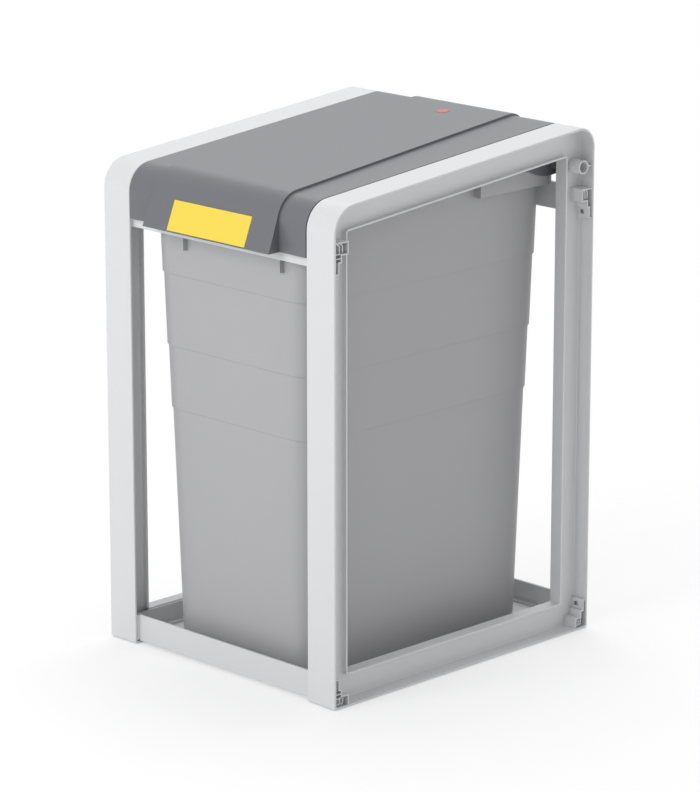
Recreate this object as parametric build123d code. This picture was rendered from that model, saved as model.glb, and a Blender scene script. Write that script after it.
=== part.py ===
from build123d import *
import math
import os

# A free-standing waste bin module: two ring-shaped side frames joined by crossbars and a
# base tray, a hinged lid with a grip along its front, and a lift-out bin that stands inside.
# Lengths are in mm and angles in degrees. X runs to the right, Y to the rear and Z up.

# Overall size
width = 369.6
depth = 416.8
rear_height = 600.0
top_slope = 5.05
grip_reach = 17.0
cut_overrun = 4.0
pick_tolerance = 0.01

# Side frame: a ring with an I-shaped section, open towards the outside and the inside
frame_width = 42.55
flange_wall = 2.8
web_wall = 3.0
web_inset = 19.5
lip_inset = 13.0
lip_width = 16.0
lip_wall = 2.5
front_corner_radius = 32.0
rear_corner_radius = 24.0
bottom_corner_radius = 3.5
flange_root_radius = 2.0
opening_inset = 33.4
opening_corner_radius = 2.5
rim_edge_radius = 1.2
lip_edge_radius = 0.7
web_root_radius = 1.5

# Foot pads pressed into the bottom flanges
foot_radius = 7.0
foot_proud = 0.6
foot_pocket_depth = 0.9
foot_fit = 0.2
foot_end_inset = 26.0

# Coupling sockets on the outside of the web, one near each corner
socket_wall = 1.5
socket_recess = 1.0
socket_drop = 73.6
socket_box_height = 14.8
socket_step_height = 22.9
socket_height = 35.5
socket_front_slot = 4.6
socket_rear_slot = 2.8
socket_step_width = 3.9
socket_front_box_width = 14.1
socket_rear_box_width = 12.2
socket_bar_wall = 1.1
socket_bar_pitch = 4.8
window_width = 6.0
window_height = 5.0
window_drop = 26.0
window_inset = 9.0

# Locking clips that hold the cross members' ends through the web
clip_fit = 0.3
clip_base = 1.2
clip_leaf = 1.2
clip_leaf_recess = 1.2
clip_leaf_lead = 0.6
clip_leaf_gap = 0.5
leaf_start_share = 0.1
leaf_pitch_share = 0.3
clip_stem_radius = 2.5
clip_stem_length = 8.0
stem_fit = 0.1

# Cross members: the front and rear crossbars and the walls of the base tray
member_wall = 2.5
member_fit = 0.3
front_recess = 6.5
rear_wall = 3.0
crossbar_top_drop = 1.4
crossbar_height = 31.7
crossbar_flange = 2.5
rear_band_height = 15.0
rear_band_wall = 1.5
rear_tab_overlap = 6.0
member_block_length = 12.0
member_block_depth = 15.0
member_block_height = 15.0
member_edge_radius = 0.5

# Base tray
tray_bottom = 3.5
tray_top = 34.6
tray_side_top = 32.0
tray_floor_top = 8.4
tray_floor_wall = 2.5
tray_step_width = 6.0
tray_step_height = 2.5
tray_corner_radius = 10.0

# Hinge of the lid
hinge_inset = 17.9
hinge_drop = 48.0
tube_wall = 1.6
bore_radius = 6.5
tube_recess = 0.6
tube_rib_wall = 1.6
pin_clearance = 0.05
pin_recess = 15.0
pin_edge_radius = 0.6
hub_gap = 0.3

# Lid: a shell between the side frames, with a raised panel that flares into a grip
lid_side_gap = 1.0
lid_wall = 2.5
lid_side_wall = 2.2
lid_side_depth = 14.0
lid_front_overlap = 20.7
lid_rear_rise = 12.0
lid_front_radius = 32.0
cheek_radius = 65.0
cheek_lead = 10.5
cheek_drop = 14.0
panel_rise = 2.6
panel_front_inset = 43.4
panel_rear_inset = 65.5
panel_side_lean = 1.6
panel_front_radius = 35.0
grip_lean = 21.8
lid_rib_wall = 2.2
lid_rib_inset = 30.0
lid_rib_width = 5.6

# Label plate on the grip, and the blank disc on top of the lid
label_width = 124.4
label_height = 35.0
label_wall = 1.1
label_pocket_depth = 1.0
label_gap = 0.35
label_margin = 1.5
label_edge_radius = 0.35
badge_radius = 7.8
badge_wall = 1.2
badge_pocket_depth = 0.8
badge_gap = 0.2
badge_rear_inset = 57.0
badge_edge_radius = 0.5

# Rubber buffers on the front crossbar, on which the lid rests
buffer_radius = 2.4
buffer_height = 2.2
buffer_gap = 0.3

# Bin: a tapered tub in four steps, with a wide rim and a deep collar round its rear
bin_top_drop = 53.0
bin_draft = 1.4
bin_side_inset = 13.0
bin_end_inset = 9.1
bin_step = 1.1
bin_low_step_drop = 260.4
bin_middle_step_drop = 186.5
bin_high_step_drop = 102.0
bin_corner_radius = 28.0
bin_wall = 2.2
bin_floor_wall = 2.6
bin_foot_gap = 0.3
bin_foot_radius = 5.0
rim_side_gap = 3.65
rim_end_gap = 9.6
rim_front_setback = 1.6
rim_corner_radius = 20.0
rim_wall = 3.0
collar_height = 19.7
collar_wall = 2.5
collar_length = 129.9
rib_left_inset = 72.9
rib_right_inset = 49.1
rib_wall = 2.5
rib_height = 70.0
rib_front_gap = 0.1

# Places that follow from the sizes above
half_width = width / 2
half_depth = depth / 2
slope = math.radians(top_slope)
draft = math.tan(math.radians(bin_draft))
inner_plane = half_width - frame_width
web_outside = half_width - web_inset
web_inside = web_outside - web_wall
member_half = web_inside - clip_fit
lid_half = inner_plane - lid_side_gap
socket_top = rear_height - socket_drop
crossbar_top = socket_top - crossbar_top_drop
crossbar_bottom = crossbar_top - crossbar_height
rear_band_bottom = crossbar_top - rear_band_height
hinge_y = half_depth - hinge_inset
hinge_height = rear_height - hinge_drop
tube_radius = bore_radius + tube_wall
lid_front_bottom = crossbar_top - lid_front_overlap
lid_rear_bottom = hinge_height + lid_rear_rise
panel_front_half = lid_half - panel_front_inset
panel_rear_half = lid_half - panel_rear_inset
bin_top = rear_height - bin_top_drop
bin_step_heights = [bin_top - bin_low_step_drop, bin_top - bin_middle_step_drop, bin_top - bin_high_step_drop]
rim_half_width = inner_plane - rim_side_gap
rim_half_depth = half_depth - rim_end_gap
collar_bottom = bin_top - collar_height
collar_front = rim_half_depth - collar_length
rib_bottom = bin_top - rib_height
front_face_y = -half_depth + front_recess
front_gap_y = -half_depth + flange_wall + member_fit
rear_inner_y = half_depth - rear_wall
rear_tab_y = half_depth - flange_wall - web_root_radius - member_fit
wall_half = inner_plane - member_fit
frame_floor_top = flange_wall + web_root_radius + member_fit
origin_shift = grip_reach / 2


def top_z(y):
    """Height of the sloping top surface at a distance y behind the middle."""
    return rear_height - (half_depth - y) * math.tan(slope)


def closed_face(points, radii):
    """Flat face inside straight runs whose corners are rounded by the given radii."""
    return make_face(FilletPolyline(points, radius=radii, close=True))


def frame_outline(front, rear, bottom, top, radii):
    """Side outline of the module, drawn in by one inset for each side.

    The radii run bottom front, bottom rear, top rear, top front.
    """
    y_front = -half_depth + front
    y_rear = half_depth - rear
    drop = top / math.cos(slope)
    corners = [
        (y_front, bottom),
        (y_rear, bottom),
        (y_rear, top_z(y_rear) - drop),
        (y_front, top_z(y_front) - drop),
    ]
    return closed_face(corners, radii)


def ring_outline(inset, radius):
    """Side outline drawn in by one inset all round, with one corner radius."""
    return frame_outline(inset, inset, inset, inset, [radius, radius, radius, radius])


def slab(face, x_from, x_to):
    """Solid made by drawing a side-view face out from x_from to x_to."""
    return extrude(Plane.YZ.offset(x_from) * face, amount=x_to - x_from, dir=(1, 0, 0))


def block(x_from, x_to, y_from, y_to, z_from, z_to):
    """Box between two corners."""
    size = (x_to - x_from, y_to - y_from, z_to - z_from)
    corner = Pos(min(x_from, x_to), min(y_from, y_to), min(z_from, z_to))
    return corner * Box(*(abs(s) for s in size), align=(Align.MIN, Align.MIN, Align.MIN))


def bar_along_x(radius, x_from, x_to, y, z):
    """Round bar that runs in X."""
    place = Pos((x_from + x_to) / 2, y, z) * Rot(0, 90, 0)
    return place * Cylinder(radius, abs(x_to - x_from))


def mirror_x(shape):
    """The same piece on the left side."""
    return mirror(shape, about=Plane.YZ)


def place_in_corner(u, v, front, top):
    """Side-view point u inwards from the end flange and v from the socket's outer end."""
    flange_y = half_depth - flange_wall - u
    y = -flange_y if front else flange_y
    z = socket_top - v if top else v
    return (y, z)


# Side frames


def frame_ring():
    """The right side frame without its sockets and hinge tube."""
    outer_radii = [bottom_corner_radius, bottom_corner_radius, rear_corner_radius, front_corner_radius]
    root_radii = [
        flange_root_radius,
        flange_root_radius,
        rear_corner_radius - flange_wall,
        front_corner_radius - flange_wall,
    ]
    outside = frame_outline(0, 0, 0, 0, outer_radii)
    inside = frame_outline(flange_wall, flange_wall, flange_wall, flange_wall, root_radii)
    flange = slab(outside - inside, inner_plane, half_width)
    rims = flange.faces().sort_by(Axis.X)
    flange = fillet(rims[0].outer_wire().edges() + rims[-1].outer_wire().edges(), rim_edge_radius)

    opening = ring_outline(opening_inset, opening_corner_radius)
    lip_outline = ring_outline(opening_inset - lip_wall, opening_corner_radius + lip_wall)
    lip_outside = half_width - lip_inset
    lip = slab(lip_outline - opening, lip_outside - lip_width, lip_outside)
    lip = fillet(lip.faces().sort_by(Axis.X)[-1].edges(), lip_edge_radius)

    middle = flange_wall / 2
    web_outline = frame_outline(middle, middle, middle, middle, outer_radii)
    web = slab(web_outline - opening, web_inside, web_outside)
    ring = flange + web + lip
    for plane_x in (web_outside, web_inside):
        roots = ring.edges().filter_by_position(Axis.X, plane_x - pick_tolerance, plane_x + pick_tolerance)
        ring = fillet(roots, web_root_radius)
    return ring


def socket_widths(front):
    """Free widths of a socket's slot, and of its slot and box together."""
    if front:
        return (socket_front_slot, socket_front_slot + socket_front_box_width)
    return (socket_rear_slot, socket_rear_slot + socket_rear_box_width)


def socket_outline(inset, start, front, top):
    """Stepped outline of a socket, drawn in by inset from its outer wall faces."""
    free_slot, free_box = socket_widths(front)
    slot = free_slot + socket_wall - inset
    step = slot + socket_step_width
    box = free_box + socket_wall - inset
    corners = [
        (start, inset),
        (box, inset),
        (box, socket_box_height - inset),
        (step, socket_box_height - inset),
        (step, socket_step_height - inset),
        (slot, socket_step_height - inset),
        (slot, socket_height - inset),
        (start, socket_height - inset),
    ]
    return make_face(Polyline([place_in_corner(u, v, front, top) for u, v in corners], close=True))


def socket_walls(front, top):
    """Walls of one socket, from the web out to just inside the frame's outer plane."""
    outside = socket_outline(0, -flange_wall / 2, front, top)
    inside = socket_outline(socket_wall, 0, front, top)
    return slab(outside - inside, web_outside - web_wall / 2, half_width - socket_recess)


def socket_bars(top):
    """Two thin bars across the slot of a front socket, from the flange to the step's wall."""
    bars = []
    v_low = socket_box_height - socket_wall
    for v in (v_low, v_low + socket_bar_pitch):
        y_a, z_a = place_in_corner(-flange_wall / 2, v - socket_bar_wall, True, top)
        y_b, z_b = place_in_corner(socket_front_slot + socket_step_width + socket_wall / 2, v, True, top)
        bars.append(block(web_outside - web_wall / 2, half_width - socket_recess, y_a, y_b, z_a, z_b))
    return bars


def socket_window(front, top):
    """Small window through the slot's wall."""
    slot = socket_widths(front)[0]
    y_a, z_a = place_in_corner(slot - socket_wall, window_drop, front, top)
    y_b, z_b = place_in_corner(slot + socket_wall * 2, window_drop + window_height, front, top)
    x_far = half_width - window_inset
    return block(x_far - window_width, x_far, y_a, y_b, z_a, z_b)


def clip_area(front, top):
    """Bounds of a clip's free area in a socket's box: inwards from the flange, and off the outer end."""
    u_from = web_root_radius + clip_fit
    u_to = socket_widths(front)[1] - clip_fit
    v_from = clip_fit + (socket_wall if top else flange_wall + web_root_radius)
    v_to = socket_box_height - socket_wall - socket_bar_wall - clip_fit
    return (u_from, u_to, v_from, v_to)


def stem_place(front, top):
    """Middle of the clip's base, where its stem goes through the web."""
    u_from, u_to, v_from, v_to = clip_area(front, top)
    return place_in_corner((u_from + u_to) / 2, (v_from + v_to) / 2, front, top)


def foot_places():
    """Centres of the pads under the right side frame."""
    foot_x = half_width - frame_width / 2
    foot_y = half_depth - foot_end_inset
    return [(foot_x, -foot_y), (foot_x, foot_y)]


def side_frame():
    """The whole right side frame."""
    frame = frame_ring()
    for front in (True, False):
        for top in (True, False):
            frame += socket_walls(front, top)
            frame -= socket_window(front, top)
            y, z = stem_place(front, top)
            hole_radius = clip_stem_radius + stem_fit
            hole_from = web_inside - web_root_radius
            frame -= bar_along_x(hole_radius, hole_from, web_outside + web_root_radius, y, z)
    for bar in socket_bars(True) + socket_bars(False):
        frame += bar
    tube_end = half_width - tube_recess
    frame += bar_along_x(tube_radius, web_outside - web_wall / 2, tube_end, hinge_y, hinge_height)
    frame += block(
        web_outside - web_wall / 2,
        tube_end - tube_rib_wall,
        hinge_y + bore_radius + pin_edge_radius,
        half_depth - flange_wall / 2,
        hinge_height - tube_rib_wall / 2,
        hinge_height + tube_rib_wall / 2,
    )
    bore_from = web_inside - cut_overrun
    frame -= bar_along_x(bore_radius, bore_from, half_width + cut_overrun, hinge_y, hinge_height)
    for x, y in foot_places():
        pocket = Cylinder(foot_radius + foot_fit, foot_pocket_depth)
        frame -= Pos(x, y, foot_pocket_depth / 2) * pocket
    return frame


def foot_pad(x, y):
    """Round pad that stands a little proud of the bottom flange."""
    height = foot_proud + foot_pocket_depth
    return Pos(x, y, height / 2 - foot_proud) * Cylinder(foot_radius, height)


def locking_clip(front, top):
    """Clip in the right frame's socket: a base, two sprung leaves and a stem through the web."""
    u_from, u_to, v_from, v_to = clip_area(front, top)
    corners = [(u_from, v_from), (u_to, v_from), (u_to, v_to), (u_from, v_to)]
    plate = make_face(Polyline([place_in_corner(u, v, front, top) for u, v in corners], close=True))
    clip = slab(plate, web_outside, web_outside + clip_base)
    pitch = (u_to - u_from) * leaf_pitch_share
    start = (u_to - u_from) * leaf_start_share
    for offset in (start, start + pitch):
        clip += clip_leaf_solid(offset, pitch - clip_leaf_gap, front, top)
    y, z = stem_place(front, top)
    stem_end = member_half - clip_stem_length
    return clip + bar_along_x(clip_stem_radius, stem_end, web_outside + clip_base / 2, y, z)


def clip_leaf_solid(offset, span, front, top):
    """One leaf: a quarter bend that opens towards the front and runs on straight, seen from the side."""
    u_from, u_to, v_from, v_to = clip_area(front, top)
    outline = [
        (offset, v_from),
        (offset + span, v_from),
        (offset + span, v_to),
        (offset + span - clip_leaf, v_to),
        (offset + span - clip_leaf, v_from + clip_leaf),
        (offset, v_from + clip_leaf),
    ]
    bend = span - clip_leaf_lead
    radii = [0, bend, 0, 0, bend - clip_leaf, 0]
    points = [place_in_corner(u_from + a if front else u_to - a, v, front, top) for a, v in outline]
    return slab(closed_face(points, radii), web_outside, half_width - socket_recess - clip_leaf_recess)


# Cross members


def with_both_ends(member, front, top):
    """Add an end block that butts on the web, drill it for the clip's stem, and mirror both."""
    y, z = stem_place(front, top)
    outer_y = front_face_y if front else rear_tab_y
    inner_y = outer_y + member_block_depth if front else outer_y - member_block_depth
    z_low = z - member_block_height / 2 if top else frame_floor_top
    z_high = z + member_block_height / 2
    end = block(member_half - member_block_length, member_half, outer_y, inner_y, z_low, z_high)
    hole_end = member_half - clip_stem_length - clip_fit
    hole = bar_along_x(clip_stem_radius + stem_fit, hole_end, member_half + cut_overrun, y, z)
    return member + end + mirror_x(end) - hole - mirror_x(hole)


def with_end_returns(member, z_low, z_high):
    """Add returns that close the gap to the front flanges, flush with the frames' inner planes."""
    back_y = front_face_y + member_wall
    end = block(inner_plane, inner_plane + member_wall, front_gap_y, back_y, z_low, z_high)
    return member + end + mirror_x(end)


def front_crossbar():
    """Upright strip behind the lid's lower edge, with a flange along its top."""
    back_y = front_face_y + member_wall
    strip = block(-member_half, member_half, front_face_y, back_y, crossbar_bottom, crossbar_top)
    strip = fillet(strip.edges().filter_by(Axis.X).group_by(Axis.Z)[0], member_edge_radius)
    flange_low = crossbar_top - crossbar_flange
    strip += block(-wall_half, wall_half, front_gap_y, back_y, flange_low, crossbar_top)
    strip = with_end_returns(strip, crossbar_bottom + member_edge_radius, crossbar_top)
    return with_both_ends(strip, True, True)


def rear_crossbar():
    """Upright strip flush with the rear posts, thicker along its upper half, with a tab behind each post."""
    strip = block(-wall_half, wall_half, rear_inner_y, half_depth, crossbar_bottom, crossbar_top)
    strip = fillet(strip.edges().filter_by(Axis.X).group_by(Axis.Z)[0], member_edge_radius)
    band_y = rear_inner_y - rear_band_wall
    strip += block(-wall_half, wall_half, band_y, rear_inner_y, rear_band_bottom, crossbar_top)
    x_from = wall_half - rear_tab_overlap
    tab = block(x_from, member_half, rear_tab_y - member_wall, rear_tab_y, crossbar_bottom, crossbar_top)
    tab += block(x_from, wall_half, rear_tab_y, rear_inner_y, crossbar_bottom, crossbar_top)
    return with_both_ends(strip + tab + mirror_x(tab), False, True)


def tray_plan():
    """Plan of the tray: it reaches between the rear posts and runs on behind them at each side."""
    tray_half = half_width - lip_inset - lip_width - member_fit
    length = rear_tab_y - front_face_y
    plan = Pos(0, front_face_y + length / 2) * RectangleRounded(tray_half * 2, length, tray_corner_radius)
    return plan + Pos(0, half_depth / 2) * Rectangle(wall_half * 2, half_depth)


def base_tray():
    """Shallow tray between the side frames, with taller walls at the front and rear."""
    plan = tray_plan()
    inner = offset(plan, -member_wall, kind=Kind.INTERSECTION)
    low = offset(plan, -member_wall - tray_step_width, kind=Kind.INTERSECTION)
    floor_bottom = tray_floor_top - tray_floor_wall
    step_top = tray_floor_top + tray_step_height
    tray = Pos(0, 0, floor_bottom) * extrude(plan, tray_side_top - floor_bottom)
    tray -= Pos(0, 0, step_top) * extrude(inner, tray_side_top)
    tray -= Pos(0, 0, tray_floor_top) * extrude(low, tray_side_top)
    back_y = front_face_y + member_wall
    front = block(-wall_half, wall_half, front_face_y, back_y, tray_bottom, tray_top)
    rear = block(-wall_half, wall_half, rear_inner_y, half_depth, tray_bottom, tray_top)
    for wall in (front, rear):
        tray += fillet(wall.edges().filter_by(Axis.X), member_edge_radius)
    tray += block(-member_half, member_half, front_face_y, back_y, frame_floor_top, tray_top)
    tray = with_end_returns(tray, frame_floor_top, tray_top - member_edge_radius)
    tray = with_both_ends(tray, True, False)
    return with_both_ends(tray, False, False)


# Lid


def lid_base_face(inset, front_inset, bottom_drop):
    """Side view of the space under the lid's base surface, drawn in by inset."""
    y_front = -half_depth + front_inset
    y_rear = half_depth - inset
    drop = inset / math.cos(slope)
    corners = [
        (y_front, lid_front_bottom - bottom_drop),
        (y_rear, lid_front_bottom - bottom_drop),
        (y_rear, top_z(y_rear) - drop),
        (y_front, top_z(y_front) - drop),
    ]
    return closed_face(corners, [0, 0, rear_corner_radius - inset, lid_front_radius - inset])


def lid_panel_face(inset, bottom_drop):
    """Side view of the space under the raised panel and its grip, drawn in by inset."""
    lean = math.radians(grip_lean)
    rise = (panel_rise - inset) / math.cos(slope)
    foot_y = -half_depth - grip_reach + inset / math.cos(lean)
    low_z = lid_front_bottom - bottom_drop
    low_y = foot_y - bottom_drop * math.tan(lean)
    # The grip's line and the panel's top line meet at this distance behind the grip's foot
    climb = 1 / math.tan(lean) - math.tan(slope)
    run = (top_z(foot_y) + rise - lid_front_bottom) / climb
    corner_y = foot_y + run
    y_rear = half_depth - inset
    corners = [
        (low_y, low_z),
        (y_rear, low_z),
        (y_rear, top_z(y_rear) + rise),
        (corner_y, top_z(corner_y) + rise),
    ]
    return closed_face(corners, [0, 0, rear_corner_radius - inset, panel_front_radius - inset])


def panel_prism(face, side_inset):
    """Draw the panel's side view out and trim it to its tapering plan, with leaning sides."""
    reach = inner_plane
    prism = slab(face, -reach, reach)
    front_y = -half_depth - grip_reach - cut_overrun
    rear_y = half_depth + cut_overrun
    taper = (panel_front_half - panel_rear_half) / depth
    low_z = lid_front_bottom - cut_overrun * 2
    high_z = rear_height + panel_rise + cut_overrun
    lean = math.tan(math.radians(panel_side_lean))
    sections = []
    for z in (low_z, high_z):
        spread = (rear_height - z) * lean - side_inset
        front_half = panel_front_half + (-half_depth - front_y) * taper + spread
        rear_half = panel_rear_half - (rear_y - half_depth) * taper + spread
        corners = [(-front_half, front_y), (front_half, front_y), (rear_half, rear_y), (-rear_half, rear_y)]
        sections.append(Pos(0, 0, z) * make_face(Polyline(corners, close=True)))
    return prism & loft(sections, ruled=True)


def lid_rear_face():
    """Side view of the space under the lid's rear edge, which clears the bin when the lid opens."""
    low_z = lid_front_bottom - cut_overrun
    start = half_depth - lid_side_depth
    reach = lid_side_depth + cut_overrun
    height = lid_rear_bottom - low_z
    return Pos(start + reach / 2, low_z + height / 2) * Rectangle(reach, height)


def lid_side_cut():
    """Space under the lid's side walls, which hang deeper only round the hinge."""
    below = lid_base_face(lid_side_depth, lid_wall + member_fit, cut_overrun)
    cheek = Pos(hinge_y - cheek_lead, hinge_height - cheek_drop + cheek_radius) * Circle(cheek_radius)
    inner = lid_half - lid_side_wall
    return slab(below + lid_rear_face() - cheek, inner - pick_tolerance, lid_half + cut_overrun)


def lid_rib():
    """Upright rib inside the lid's front corner that comes down on the crossbar's buffer."""
    x = lid_half - lid_rib_inset
    front_y = -half_depth + lid_wall / 2
    bottom = crossbar_top + buffer_height + buffer_gap
    reach = front_y + lid_wall / 2 + lid_rib_width
    x_from = x - lid_rib_wall / 2
    x_to = x + lid_rib_wall / 2
    rib = block(x_from, x_to, front_y, reach, bottom, rear_height)
    return rib & slab(lid_base_face(lid_wall / 2, lid_wall / 2, 0), x_from, x_to)


def lid_inside():
    """The hollow of the lid, open towards the bottom."""
    inner = lid_half - lid_side_wall
    base = slab(lid_base_face(lid_wall, lid_wall, cut_overrun), -inner, inner)
    panel = panel_prism(lid_panel_face(lid_wall, cut_overrun), lid_wall)
    return base + panel


def label_plane():
    """Plane of the grip's front surface, with its origin at the middle of the lower edge."""
    lean = math.radians(grip_lean)
    origin = (0, -half_depth - grip_reach, lid_front_bottom)
    normal = (0, -math.cos(lean), math.sin(lean))
    return Plane(origin=origin, x_dir=(1, 0, 0), z_dir=normal)


def label_slab(spread, depth_from, depth_to):
    """Flat plate in the grip's surface, from one depth below it to another."""
    middle = label_margin + label_height / 2
    face = Pos(0, middle) * Rectangle(label_width + spread * 2, label_height + spread * 2)
    plane = label_plane()
    return extrude(plane.offset(-depth_to) * face, amount=depth_to - depth_from, dir=plane.z_dir)


def badge_slab(radius, depth_from, depth_to):
    """Round plate in the panel's top surface, from one depth below it to another."""
    y = half_depth - badge_rear_inset
    normal = (0, -math.sin(slope), math.cos(slope))
    surface = Plane(origin=(0, y, top_z(y) + panel_rise / math.cos(slope)), x_dir=(1, 0, 0), z_dir=normal)
    return extrude(surface.offset(-depth_to) * Circle(radius), amount=depth_to - depth_from, dir=normal)


def lid_shell():
    """The whole lid moulding: shell, side walls, hinge hubs and ribs."""
    lid = slab(lid_base_face(0, 0, 0), -lid_half, lid_half)
    lid += panel_prism(lid_panel_face(0, 0), 0)
    lid -= lid_inside()
    side_cut = lid_side_cut()
    lid -= side_cut
    lid -= mirror_x(side_cut)
    lid -= slab(lid_rear_face(), lid_side_wall - lid_half, lid_half - lid_side_wall)
    hub = bar_along_x(tube_radius, lid_half - lid_side_wall, web_inside - hub_gap, hinge_y, hinge_height)
    bore = bar_along_x(bore_radius, lid_half - lid_side_wall * 2, web_inside, hinge_y, hinge_height)
    for piece in (hub, mirror_x(hub), lid_rib(), mirror_x(lid_rib())):
        lid += piece
    for hole in (bore, mirror_x(bore)):
        lid -= hole
    lid -= label_slab(label_gap, -cut_overrun, label_pocket_depth)
    lid -= badge_slab(badge_radius + badge_gap, -cut_overrun, badge_pocket_depth)
    return lid


def label_plate():
    """Coloured plate that lies in the grip's pocket."""
    plate = label_slab(0, label_pocket_depth - label_wall, label_pocket_depth)
    front = plate.faces().sort_by(Axis.Y)[0]
    return fillet(front.edges(), label_edge_radius)


def lid_badge():
    """Plain disc set into the lid's top."""
    disc = badge_slab(badge_radius, badge_pocket_depth - badge_wall, badge_pocket_depth)
    return fillet(disc.faces().sort_by(Axis.Z)[-1].edges(), badge_edge_radius)


def hinge_pin():
    """Pin of the right hinge, from inside the frame's tube to the lid's cheek."""
    x_from = lid_half - lid_side_wall
    x_to = half_width - pin_recess
    pin = bar_along_x(bore_radius - pin_clearance, x_from, x_to, hinge_y, hinge_height)
    ends = pin.faces().filter_by(Plane.YZ).edges()
    return chamfer(ends, pin_edge_radius)


def lid_buffer():
    """Rubber buffer on the right end of the front crossbar."""
    x = lid_half - lid_rib_inset
    y = -half_depth + lid_wall + lid_rib_width / 2
    return Pos(x, y, crossbar_top + buffer_height / 2) * Cylinder(buffer_radius, buffer_height)


# Bin


def tub_half_sizes(z, extra):
    """Half width and half depth of the tub's outside at height z, less extra."""
    lower = (z - bin_step_heights[-1]) * draft - extra
    return (rim_half_width - bin_side_inset + lower, rim_half_depth - bin_end_inset + lower)


def tub_section(z, extra, radius):
    """Rounded rectangle across the tub at height z."""
    half_x, half_y = tub_half_sizes(z, extra)
    return Pos(0, 0, z) * RectangleRounded(half_x * 2, half_y * 2, radius)


def stepped_tub(bottom, top, inset):
    """Tub body from bottom to top; each part below a step is one step narrower."""
    radius = bin_corner_radius - inset
    levels = [bottom] + bin_step_heights + [top]
    parts = []
    for index in range(len(levels) - 1):
        steps_above = len(bin_step_heights) - index
        extra = inset + steps_above * bin_step
        low = tub_section(levels[index], extra, radius)
        high = tub_section(levels[index + 1], extra, radius)
        parts.append(loft([low, high], ruled=True))
    body = parts[0]
    for part in parts[1:]:
        body += part
    return body


def rim_outline(inset):
    """Plan of the rim, drawn in by inset; its front edge keeps clear of the lid's front curve."""
    width = (rim_half_width - inset) * 2
    depth = (rim_half_depth - inset) * 2 - rim_front_setback
    return Pos(0, rim_front_setback / 2) * RectangleRounded(width, depth, rim_corner_radius - inset)


def bin_collar():
    """Skirt that hangs from the rim round the rear and part of the sides, closed at its front ends."""
    height = bin_top - collar_bottom
    skirt = extrude(rim_outline(0), height) - extrude(rim_outline(collar_wall), height)
    skirt = Pos(0, 0, collar_bottom) * skirt
    far = rim_half_width + cut_overrun
    front_part = block(-far, far, -rim_half_depth - cut_overrun, collar_front, collar_bottom, bin_top)
    end_wall = Pos(0, 0, collar_bottom) * extrude(rim_outline(0), height)
    end_wall &= block(-far, far, collar_front, collar_front + collar_wall, collar_bottom, bin_top)
    return skirt - front_part + end_wall


def bin_rib(x):
    """Upright rib under the front rim, with its right face at x."""
    front_y = -rim_half_depth + rim_front_setback + rib_front_gap
    inner_y = -tub_half_sizes(rib_bottom, bin_wall)[1]
    return block(x - rib_wall, x, front_y, inner_y, rib_bottom, bin_top - rim_wall / 2)


def inner_bin():
    """The lift-out bin, in one moulding."""
    bottom = tray_floor_top + bin_foot_gap
    tub = stepped_tub(bottom, bin_top, 0)
    tub = fillet(tub.faces().sort_by(Axis.Z)[0].edges(), bin_foot_radius)
    rim = Pos(0, 0, bin_top - rim_wall) * extrude(rim_outline(0), rim_wall)
    body = tub + rim + bin_collar()
    for x in (rib_left_inset - rim_half_width, rim_half_width - rib_right_inset):
        body += bin_rib(x)
    hollow = stepped_tub(bottom + bin_floor_wall, bin_top + cut_overrun, bin_wall)
    return body - hollow


def write(shape, name):
    """Put a piece in the part's own frame and write its file."""
    export_step(Pos(0, origin_shift, foot_proud) * shape, "parts/" + name + ".step")


def build_all():
    """Every piece by the name of its node."""
    right_frame = side_frame()
    pin = hinge_pin()
    buffer = lid_buffer()
    pieces = {
        "side_frame_right": right_frame,
        "side_frame_left": mirror_x(right_frame),
        "base_tray": base_tray(),
        "front_crossbar": front_crossbar(),
        "rear_crossbar": rear_crossbar(),
        "lid_shell": lid_shell(),
        "label_plate": label_plate(),
        "lid_badge": lid_badge(),
        "hinge_pin_right": pin,
        "hinge_pin_left": mirror_x(pin),
        "lid_buffer_right": buffer,
        "lid_buffer_left": mirror_x(buffer),
        "inner_bin": inner_bin(),
    }
    for front, end_name in ((True, "front"), (False, "rear")):
        for top, level_name in ((True, "top"), (False, "base")):
            clip = locking_clip(front, top)
            pieces["lock_clip_" + level_name + "_" + end_name + "_right"] = clip
            pieces["lock_clip_" + level_name + "_" + end_name + "_left"] = mirror_x(clip)
    for (x, y), end_name in zip(foot_places(), ("front", "rear")):
        pieces["foot_pad_" + end_name + "_right"] = foot_pad(x, y)
        pieces["foot_pad_" + end_name + "_left"] = foot_pad(-x, y)
    return pieces


os.makedirs("parts", exist_ok=True)
for node_name, piece in build_all().items():
    write(piece, node_name)
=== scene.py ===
import math
from typing import NamedTuple

import bpy
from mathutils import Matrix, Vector

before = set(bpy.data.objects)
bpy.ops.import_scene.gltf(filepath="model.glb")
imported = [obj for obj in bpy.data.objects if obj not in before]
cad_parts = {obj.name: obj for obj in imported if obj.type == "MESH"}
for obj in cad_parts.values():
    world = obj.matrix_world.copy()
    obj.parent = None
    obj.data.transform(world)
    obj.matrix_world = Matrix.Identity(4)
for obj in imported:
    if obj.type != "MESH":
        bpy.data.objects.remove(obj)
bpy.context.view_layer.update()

bl_info = {
    "name": "Bin Frame With Hinged Lid",
    "version": (1, 0, 0),
    "blender": (4, 5, 0),
    "location": "View3D > Sidebar > Bin Frame",
    "description": "Finishes an open waste bin module with a hinged lid and a lift-out bin",
    "category": "Object",
}

MM = 0.001
SRGB_KNEE = 0.04045
SRGB_TOE_SLOPE = 12.92
SRGB_OFFSET = 0.055
SRGB_POWER = 2.4
BYTE_MAX = 255
HEX_BASE = 16
HEX_STARTS = (1, 3, 5)
HEX_PAIR = 2

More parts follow.
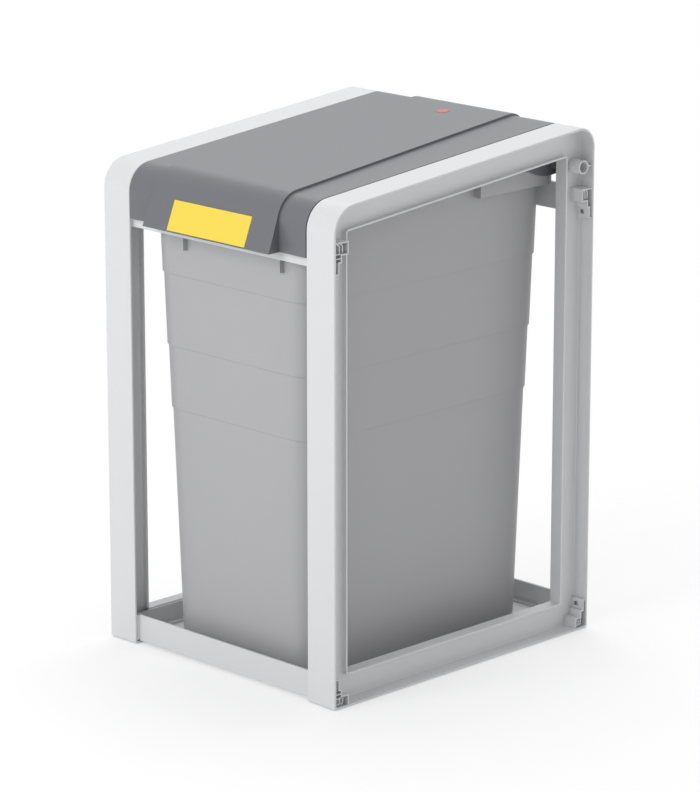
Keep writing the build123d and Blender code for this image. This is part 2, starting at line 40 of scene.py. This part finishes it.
# Refractive indices of the plastics; acetal and polyethylene take polypropylene's, which lies near their own
IOR_POLYPROPYLENE = 1.49
IOR_ACETAL = IOR_POLYPROPYLENE
IOR_POLYETHYLENE = IOR_POLYPROPYLENE
IOR_ABS = 1.53
IOR_RUBBER = 1.52

# The grain that a moulding tool leaves, as a noise. Each grain size is coarser than the real one, so it shows
GRAIN_DETAIL = 3.0
GRAIN_ROUGHNESS = 0.6
GRAIN_STRENGTH = 1.0
EDGE_SAMPLES = 6
EDGE_RADIUS = 0.6 * MM
FINEST_GRAIN = 0.1 * MM

# Levels of the world's light by the height of the direction, from straight ahead to straight up
SKY_STOPS = ((0.0, 1.0), (0.25, 0.95), (0.55, 0.4), (1.0, 0.65))

# Floor: half its side, and the distances from the middle between which its shadow fades to plain white
FLOOR_HALF = 12.0
FLOOR_SHADOW_REACH = 0.3
FLOOR_WHITE_FROM = 1.1
# Share of plain white in the floor, near the object and far from it
FLOOR_WHITE_SHARE_NEAR = 0.5
FLOOR_WHITE_SHARE_FAR = 1.0

PAPER = (0.98, 0.98, 0.98)
WHITE = (1.0, 1.0, 1.0)
WHITE_STRENGTH = 1.0

# Width of the sensor in millimetres, and the tilt at which a camera looks straight ahead
SENSOR_WIDTH = 36.0
LEVEL_TILT = math.pi / 2


class Moulding(NamedTuple):
    """Surface of a moulded plastic, apart from its colour; small pieces take a share of the edge softness."""

    name: str
    roughness: float
    ior: float
    grain_size: float
    grain_depth: float
    edge_share: float = 1.0


class Softbox(NamedTuple):
    """Square soft lamp: its side, its place and the point that it faces."""

    name: str
    side: float
    place: tuple
    aim: tuple


# Moulded polypropylene: a fine spark-eroded tool surface gives a soft satin sheen
FRAME_MOULDING = Moulding(
    name="polypropylene_light_grey_moulded",
    roughness=0.42,
    ior=IOR_POLYPROPYLENE,
    grain_size=0.7 * MM,
    grain_depth=0.012 * MM,
)
# Moulded polypropylene from a slightly coarser tool, a little duller than the frames
TRAY_MOULDING = Moulding(
    name="polypropylene_tray_grey_moulded",
    roughness=0.5,
    ior=IOR_POLYPROPYLENE,
    grain_size=0.8 * MM,
    grain_depth=0.015 * MM,
)
# Moulded acetal from a plain polished tool, so it is a little shinier than the frames
CLIP_MOULDING = Moulding(
    name="acetal_grey_moulded",
    roughness=0.35,
    ior=IOR_ACETAL,
    grain_size=0.5 * MM,
    grain_depth=0.004 * MM,
    edge_share=0.5,
)
# Moulded rubber, matt and slightly uneven
RUBBER_MOULDING = Moulding(
    name="rubber_dark_grey_moulded",
    roughness=0.75,
    ior=IOR_RUBBER,
    grain_size=0.6 * MM,
    grain_depth=0.02 * MM,
    edge_share=0.5,
)
# Moulded ABS with an etched grain, which spreads the light softly
LID_MOULDING = Moulding(
    name="abs_dark_grey_grained",
    roughness=0.34,
    ior=IOR_ABS,
    grain_size=0.9 * MM,
    grain_depth=0.03 * MM,
)
# Moulded ABS plate, coloured through, with a smooth satin face
LABEL_MOULDING = Moulding(
    name="abs_yellow_satin",
    roughness=0.38,
    ior=IOR_ABS,
    grain_size=0.6 * MM,
    grain_depth=0.004 * MM,
    edge_share=0.5,
)
# Moulded ABS disc, coloured through, with a smooth face that is a little shinier than the plate's
BADGE_MOULDING = Moulding(
    name="abs_red_disc",
    roughness=0.32,
    ior=IOR_ABS,
    grain_size=0.6 * MM,
    grain_depth=0.003 * MM,
    edge_share=0.5,
)
# Moulded polyethylene, smooth off the tool, with a soft even sheen
BIN_MOULDING = Moulding(
    name="polyethylene_grey_moulded",
    roughness=0.45,
    ior=IOR_POLYETHYLENE,
    grain_size=0.9 * MM,
    grain_depth=0.012 * MM,
)

KEY_SOFTBOX = Softbox(name="key_softbox", side=1.4, place=(-0.1, -2.4, 1.5), aim=(0, 0, 0.4))
SIDE_SOFTBOX = Softbox(name="side_softbox", side=1.8, place=(1.9, 1.6, 1.0), aim=(0, 0, 0.3))
TOP_SOFTBOX = Softbox(name="top_softbox", side=2.2, place=(-0.5, 0.9, 2.7), aim=(0, 0, 0.4))


def linear(hex_colour):
    """Linear RGB of an sRGB hex colour such as #C8C9CB."""
    channels = [int(hex_colour[i:i + HEX_PAIR], HEX_BASE) / BYTE_MAX for i in HEX_STARTS]
    return tuple(
        c / SRGB_TOE_SLOPE if c <= SRGB_KNEE else ((c + SRGB_OFFSET) / (1 + SRGB_OFFSET)) ** SRGB_POWER
        for c in channels
    )


def colour_property(name, description, hex_colour):
    """Colour setting with its default given in sRGB."""
    return bpy.props.FloatVectorProperty(
        name=name, description=description, default=linear(hex_colour), size=3, min=0, max=1, subtype="COLOR"
    )


def length_property(name, description, default, least=0.0):
    """Length setting in metres."""
    return bpy.props.FloatProperty(
        name=name, description=description, default=default, min=least, subtype="DISTANCE", unit="LENGTH"
    )


def angle_property(name, description, degrees):
    """Angle setting with its default given in degrees."""
    return bpy.props.FloatProperty(
        name=name, description=description, default=math.radians(degrees), subtype="ANGLE", unit="ROTATION"
    )


def power_property(name, description, watts):
    """Power setting of a lamp."""
    return bpy.props.FloatProperty(name=name, description=description, default=watts, min=0, unit="POWER")


class FrameFinish(bpy.types.PropertyGroup):
    """Colours of the side frames, the crossbars, the base tray, the clips and the rubber pieces."""

    frame_colour: colour_property("Frames", "Colour of the side frames and crossbars", "#CCCDCF")
    tray_colour: colour_property("Tray", "Colour of the base tray", "#C8C9CB")
    clip_colour: colour_property("Clips", "Colour of the locking clips and hinge pins", "#CFD0D2")
    rubber_colour: colour_property("Rubber", "Colour of the feet and buffers", "#3A3A3C")
    edge_radius: length_property("Edge softness", "Radius by which moulded edges look rounded", EDGE_RADIUS)


class LidFinish(bpy.types.PropertyGroup):
    """Colours of the lid and what is set into it."""

    lid_colour: colour_property("Lid", "Colour of the lid", "#636469")
    label_colour: colour_property("Label", "Colour of the label plate", "#E3C942")
    badge_colour: colour_property("Badge", "Colour of the plain disc", "#B4574C")
    grain_size: length_property(
        "Grain size", "Size of the lid's moulded grain", LID_MOULDING.grain_size, least=FINEST_GRAIN
    )


class BinFinish(bpy.types.PropertyGroup):
    """Colour of the lift-out bin."""

    bin_colour: colour_property("Bin", "Colour of the lift-out bin", "#A2A2A4")


class StageSettings(bpy.types.PropertyGroup):
    """Camera and light."""

    camera_position: bpy.props.FloatVectorProperty(
        name="Camera",
        description="Place of the camera",
        default=(3.0556, -3.0409, 1.4376),
        size=3,
        subtype="XYZ",
        unit="LENGTH",
    )
    camera_yaw: angle_property("Camera yaw", "Turn of the camera about the vertical", 45.059)
    camera_pitch: angle_property("Camera pitch", "Angle by which the camera looks down", 14.941)
    camera_lens: bpy.props.FloatProperty(
        name="Lens",
        description="Focal length on a 36 mm sensor",
        default=199.84,
        min=1,
        subtype="DISTANCE_CAMERA",
    )
    key_power: power_property("Key light", "Power of the large softbox at the front", 31.0)
    side_power: power_property("Side light", "Power of the softbox at the rear right", 4.0)
    top_power: power_property("Top light", "Power of the softbox overhead, a little to the rear", 37.0)
    fill_strength: bpy.props.FloatProperty(
        name="Fill light", description="Strength of the light from all round", default=0.93, min=0
    )


class NodeBoard:
    """A material's node tree with short ways to add nodes and link them."""

    def __init__(self, tree):
        self.tree = tree

    def add(self, kind, settings=None, inputs=None):
        """New node with its settings and its input values or links."""
        node = self.tree.nodes.new(kind)
        for key, value in (settings or {}).items():
            setattr(node, key, value)
        for key, value in (inputs or {}).items():
            if isinstance(value, bpy.types.NodeSocket):
                self.tree.links.new(value, node.inputs[key])
            else:
                node.inputs[key].default_value = value
        return node


def new_material(name):
    """Empty node material and its board."""
    material = bpy.data.materials.new(name)
    material.use_nodes = True
    material.node_tree.nodes.clear()
    return material, NodeBoard(material.node_tree)


def opaque(colour):
    """Colour with full alpha, as a shader's socket takes it."""
    return (*colour, 1.0)


def moulded_material(moulding, colour, edge_radius):
    """Injection-moulded plastic: one body colour, a fine grain from the tool, slightly softened edges."""
    material, board = new_material(moulding.name)
    place = board.add("ShaderNodeTexCoord")
    grain = board.add(
        "ShaderNodeTexNoise",
        {"noise_dimensions": "3D"},
        {
            "Vector": place.outputs["Object"],
            "Scale": 1 / moulding.grain_size,
            "Detail": GRAIN_DETAIL,
            "Roughness": GRAIN_ROUGHNESS,
        },
    )
    softened = board.add(
        "ShaderNodeBevel", {"samples": EDGE_SAMPLES}, {"Radius": edge_radius * moulding.edge_share}
    )
    bump = board.add(
        "ShaderNodeBump",
        None,
        {
            "Strength": GRAIN_STRENGTH,
            "Distance": moulding.grain_depth,
            "Height": grain.outputs["Fac"],
            "Normal": softened.outputs["Normal"],
        },
    )
    shader = board.add(
        "ShaderNodeBsdfPrincipled",
        None,
        {
            "Base Color": opaque(colour),
            "Roughness": moulding.roughness,
            "IOR": moulding.ior,
            "Normal": bump.outputs["Normal"],
        },
    )
    board.add("ShaderNodeOutputMaterial", None, {"Surface": shader.outputs["BSDF"]})
    return material


def finish_nodes(prefixes, moulding, colour):
    """Give a moulded plastic to every node whose name starts with one of the prefixes."""
    found = [node for name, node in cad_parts.items() if name.startswith(prefixes)]
    if not found:
        raise RuntimeError("no node starts with " + " or ".join(prefixes))
    edge_radius = bpy.context.scene.bin_frame_finish.edge_radius
    material = moulded_material(moulding, colour, edge_radius)
    for node in found:
        if not node.material_slots:
            node.data.materials.append(material)
        for slot in node.material_slots:
            slot.material = material


class BINFRAME_OT_frames(bpy.types.Operator):
    """Finish the side frames and crossbars"""

    bl_idname = "binframe.frames"
    bl_label = "Side frames and crossbars"

    def execute(self, context):
        colour = context.scene.bin_frame_finish.frame_colour
        finish_nodes(("side_frame", "front_crossbar", "rear_crossbar"), FRAME_MOULDING, colour)
        return {"FINISHED"}


class BINFRAME_OT_tray(bpy.types.Operator):
    """Finish the base tray"""

    bl_idname = "binframe.tray"
    bl_label = "Base tray"

    def execute(self, context):
        finish_nodes(("base_tray",), TRAY_MOULDING, context.scene.bin_frame_finish.tray_colour)
        return {"FINISHED"}


class BINFRAME_OT_clips(bpy.types.Operator):
    """Finish the locking clips and hinge pins"""

    bl_idname = "binframe.clips"
    bl_label = "Clips and hinge pins"

    def execute(self, context):
        colour = context.scene.bin_frame_finish.clip_colour
        finish_nodes(("lock_clip", "hinge_pin"), CLIP_MOULDING, colour)
        return {"FINISHED"}


class BINFRAME_OT_rubber(bpy.types.Operator):
    """Finish the feet and the lid's buffers"""

    bl_idname = "binframe.rubber"
    bl_label = "Feet and buffers"

    def execute(self, context):
        colour = context.scene.bin_frame_finish.rubber_colour
        finish_nodes(("foot_pad", "lid_buffer"), RUBBER_MOULDING, colour)
        return {"FINISHED"}


class BINFRAME_OT_lid(bpy.types.Operator):
    """Finish the lid"""

    bl_idname = "binframe.lid"
    bl_label = "Lid"

    def execute(self, context):
        settings = context.scene.bin_lid_finish
        moulding = LID_MOULDING._replace(grain_size=settings.grain_size)
        finish_nodes(("lid_shell",), moulding, settings.lid_colour)
        return {"FINISHED"}


class BINFRAME_OT_label(bpy.types.Operator):
    """Finish the label plate and the blank disc"""

    bl_idname = "binframe.label"
    bl_label = "Label plate and disc"

    def execute(self, context):
        settings = context.scene.bin_lid_finish
        finish_nodes(("label_plate",), LABEL_MOULDING, settings.label_colour)
        finish_nodes(("lid_badge",), BADGE_MOULDING, settings.badge_colour)
        return {"FINISHED"}


class BINFRAME_OT_bin(bpy.types.Operator):
    """Finish the lift-out bin"""

    bl_idname = "binframe.bin"
    bl_label = "Lift-out bin"

    def execute(self, context):
        finish_nodes(("inner_bin",), BIN_MOULDING, context.scene.bin_bin_finish.bin_colour)
        return {"FINISHED"}


def background_rays(board):
    """Socket that is 1 for the rays that see the plain white background."""
    path = board.add("ShaderNodeLightPath")
    seen = board.add(
        "ShaderNodeMath",
        {"operation": "MAXIMUM"},
        {0: path.outputs["Is Camera Ray"], 1: path.outputs["Is Glossy Ray"]},
    )
    return board.add(
        "ShaderNodeMath",
        {"operation": "MAXIMUM"},
        {0: seen.outputs[0], 1: path.outputs["Is Transmission Ray"]},
    ).outputs[0]


def backdrop_material():
    """Matt white paper that keeps the object's shadow nearby and is plain white further away."""
    material, board = new_material("studio_paper_white")
    paper = board.add("ShaderNodeBsdfDiffuse", None, {"Color": opaque(PAPER)})
    glow = board.add("ShaderNodeEmission", None, {"Color": opaque(WHITE), "Strength": WHITE_STRENGTH})
    place = board.add("ShaderNodeTexCoord")
    distance = board.add("ShaderNodeVectorMath", {"operation": "LENGTH"}, {0: place.outputs["Object"]})
    whiteness = board.add(
        "ShaderNodeMapRange",
        {"interpolation_type": "SMOOTHSTEP"},
        {
            "Value": distance.outputs["Value"],
            "From Min": FLOOR_SHADOW_REACH,
            "From Max": FLOOR_WHITE_FROM,
            "To Min": FLOOR_WHITE_SHARE_NEAR,
            "To Max": FLOOR_WHITE_SHARE_FAR,
        },
    )
    share = board.add(
        "ShaderNodeMath",
        {"operation": "MULTIPLY"},
        {0: background_rays(board), 1: whiteness.outputs["Result"]},
    )
    mixed = board.add(
        "ShaderNodeMixShader",
        None,
        {0: share.outputs[0], 1: paper.outputs["BSDF"], 2: glow.outputs["Emission"]},
    )
    board.add("ShaderNodeOutputMaterial", None, {"Surface": mixed.outputs["Shader"]})
    return material


def make_floor():
    """Wide flat floor under the feet."""
    mesh = bpy.data.meshes.new("studio_floor")
    corners = [(x * FLOOR_HALF, y * FLOOR_HALF, 0) for x, y in ((-1, -1), (1, -1), (1, 1), (-1, 1))]
    mesh.from_pydata(corners, [], [(0, 1, 2, 3)])
    floor = bpy.data.objects.new("studio_floor", mesh)
    floor.data.materials.append(backdrop_material())
    bpy.context.scene.collection.objects.link(floor)


def set_ramp(ramp, stops):
    """Give a colour ramp its grey stops, each a place and a level."""
    elements = ramp.color_ramp.elements
    while len(elements) < len(stops):
        elements.new(1.0)
    for element, (place, level) in zip(elements, stops):
        element.position = place
        element.color = opaque((level, level, level))


def make_world(strength):
    """Light from all round, brightest near the horizon; the camera and reflections see plain white."""
    world = bpy.data.worlds.new("studio_world")
    bpy.context.scene.world = world
    world.use_nodes = True
    world.node_tree.nodes.clear()
    board = NodeBoard(world.node_tree)
    place = board.add("ShaderNodeTexCoord")
    split = board.add("ShaderNodeSeparateXYZ", None, {0: place.outputs["Generated"]})
    ramp = board.add("ShaderNodeValToRGB", None, {"Fac": split.outputs["Z"]})
    set_ramp(ramp, SKY_STOPS)
    light = board.add("ShaderNodeBackground", None, {"Color": ramp.outputs["Color"], "Strength": strength})
    white = board.add("ShaderNodeBackground", None, {"Color": opaque(WHITE), "Strength": WHITE_STRENGTH})
    mixed = board.add(
        "ShaderNodeMixShader",
        None,
        {0: background_rays(board), 1: light.outputs["Background"], 2: white.outputs["Background"]},
    )
    board.add("ShaderNodeOutputWorld", None, {"Surface": mixed.outputs["Shader"]})


def make_softbox(softbox, watts):
    """Square soft lamp that faces its aim."""
    lamp = bpy.data.lights.new(softbox.name, "AREA")
    lamp.shape = "SQUARE"
    lamp.size = softbox.side
    lamp.energy = watts
    light = bpy.data.objects.new(softbox.name, lamp)
    light.location = softbox.place
    light.rotation_euler = (Vector(softbox.aim) - Vector(softbox.place)).to_track_quat("-Z", "Y").to_euler()
    bpy.context.scene.collection.objects.link(light)


def make_camera(settings):
    """Camera at the place the photo was taken from."""
    data = bpy.data.cameras.new("camera")
    data.sensor_fit = "HORIZONTAL"
    data.sensor_width = SENSOR_WIDTH
    data.lens = settings.camera_lens
    camera = bpy.data.objects.new("camera", data)
    camera.location = settings.camera_position
    camera.rotation_euler = (LEVEL_TILT - settings.camera_pitch, 0, settings.camera_yaw)
    bpy.context.scene.collection.objects.link(camera)
    bpy.context.scene.camera = camera


class BINFRAME_OT_stage(bpy.types.Operator):
    """Make the floor, the lights and the camera"""

    bl_idname = "binframe.stage"
    bl_label = "Stage"

    def execute(self, context):
        settings = context.scene.bin_stage
        context.scene.view_settings.view_transform = "Standard"
        make_floor()
        make_world(settings.fill_strength)
        make_softbox(KEY_SOFTBOX, settings.key_power)
        make_softbox(SIDE_SOFTBOX, settings.side_power)
        make_softbox(TOP_SOFTBOX, settings.top_power)
        make_camera(settings)
        return {"FINISHED"}


STEPS = (
    BINFRAME_OT_frames,
    BINFRAME_OT_tray,
    BINFRAME_OT_clips,
    BINFRAME_OT_rubber,
    BINFRAME_OT_lid,
    BINFRAME_OT_label,
    BINFRAME_OT_bin,
    BINFRAME_OT_stage,
)

GROUPS = {
    "bin_frame_finish": FrameFinish,
    "bin_lid_finish": LidFinish,
    "bin_bin_finish": BinFinish,
    "bin_stage": StageSettings,
}


class BINFRAME_PT_panel(bpy.types.Panel):
    """Colours, lights and steps of the bin frame"""

    bl_idname = "BINFRAME_PT_panel"
    bl_label = "Bin Frame"
    bl_space_type = "VIEW_3D"
    bl_region_type = "UI"
    bl_category = "Bin Frame"

    def draw(self, context):
        for group in GROUPS:
            settings = getattr(context.scene, group)
            for name in settings.__annotations__:
                self.layout.prop(settings, name)
        for step in STEPS:
            self.layout.operator(step.bl_idname)


def register():
    """Register every class and its settings."""
    for name, group in GROUPS.items():
        bpy.utils.register_class(group)
        setattr(bpy.types.Scene, name, bpy.props.PointerProperty(type=group))
    for cls in (*STEPS, BINFRAME_PT_panel):
        bpy.utils.register_class(cls)


def unregister():
    """Take every class away again."""
    for cls in reversed((*STEPS, BINFRAME_PT_panel)):
        bpy.utils.unregister_class(cls)
    for name, group in GROUPS.items():
        delattr(bpy.types.Scene, name)
        bpy.utils.unregister_class(group)


def main():
    """Finish every piece in order."""
    register()
    for step in STEPS:
        space, call = step.bl_idname.split(".")
        getattr(getattr(bpy.ops, space), call)()


if __name__ == "__main__":
    main()
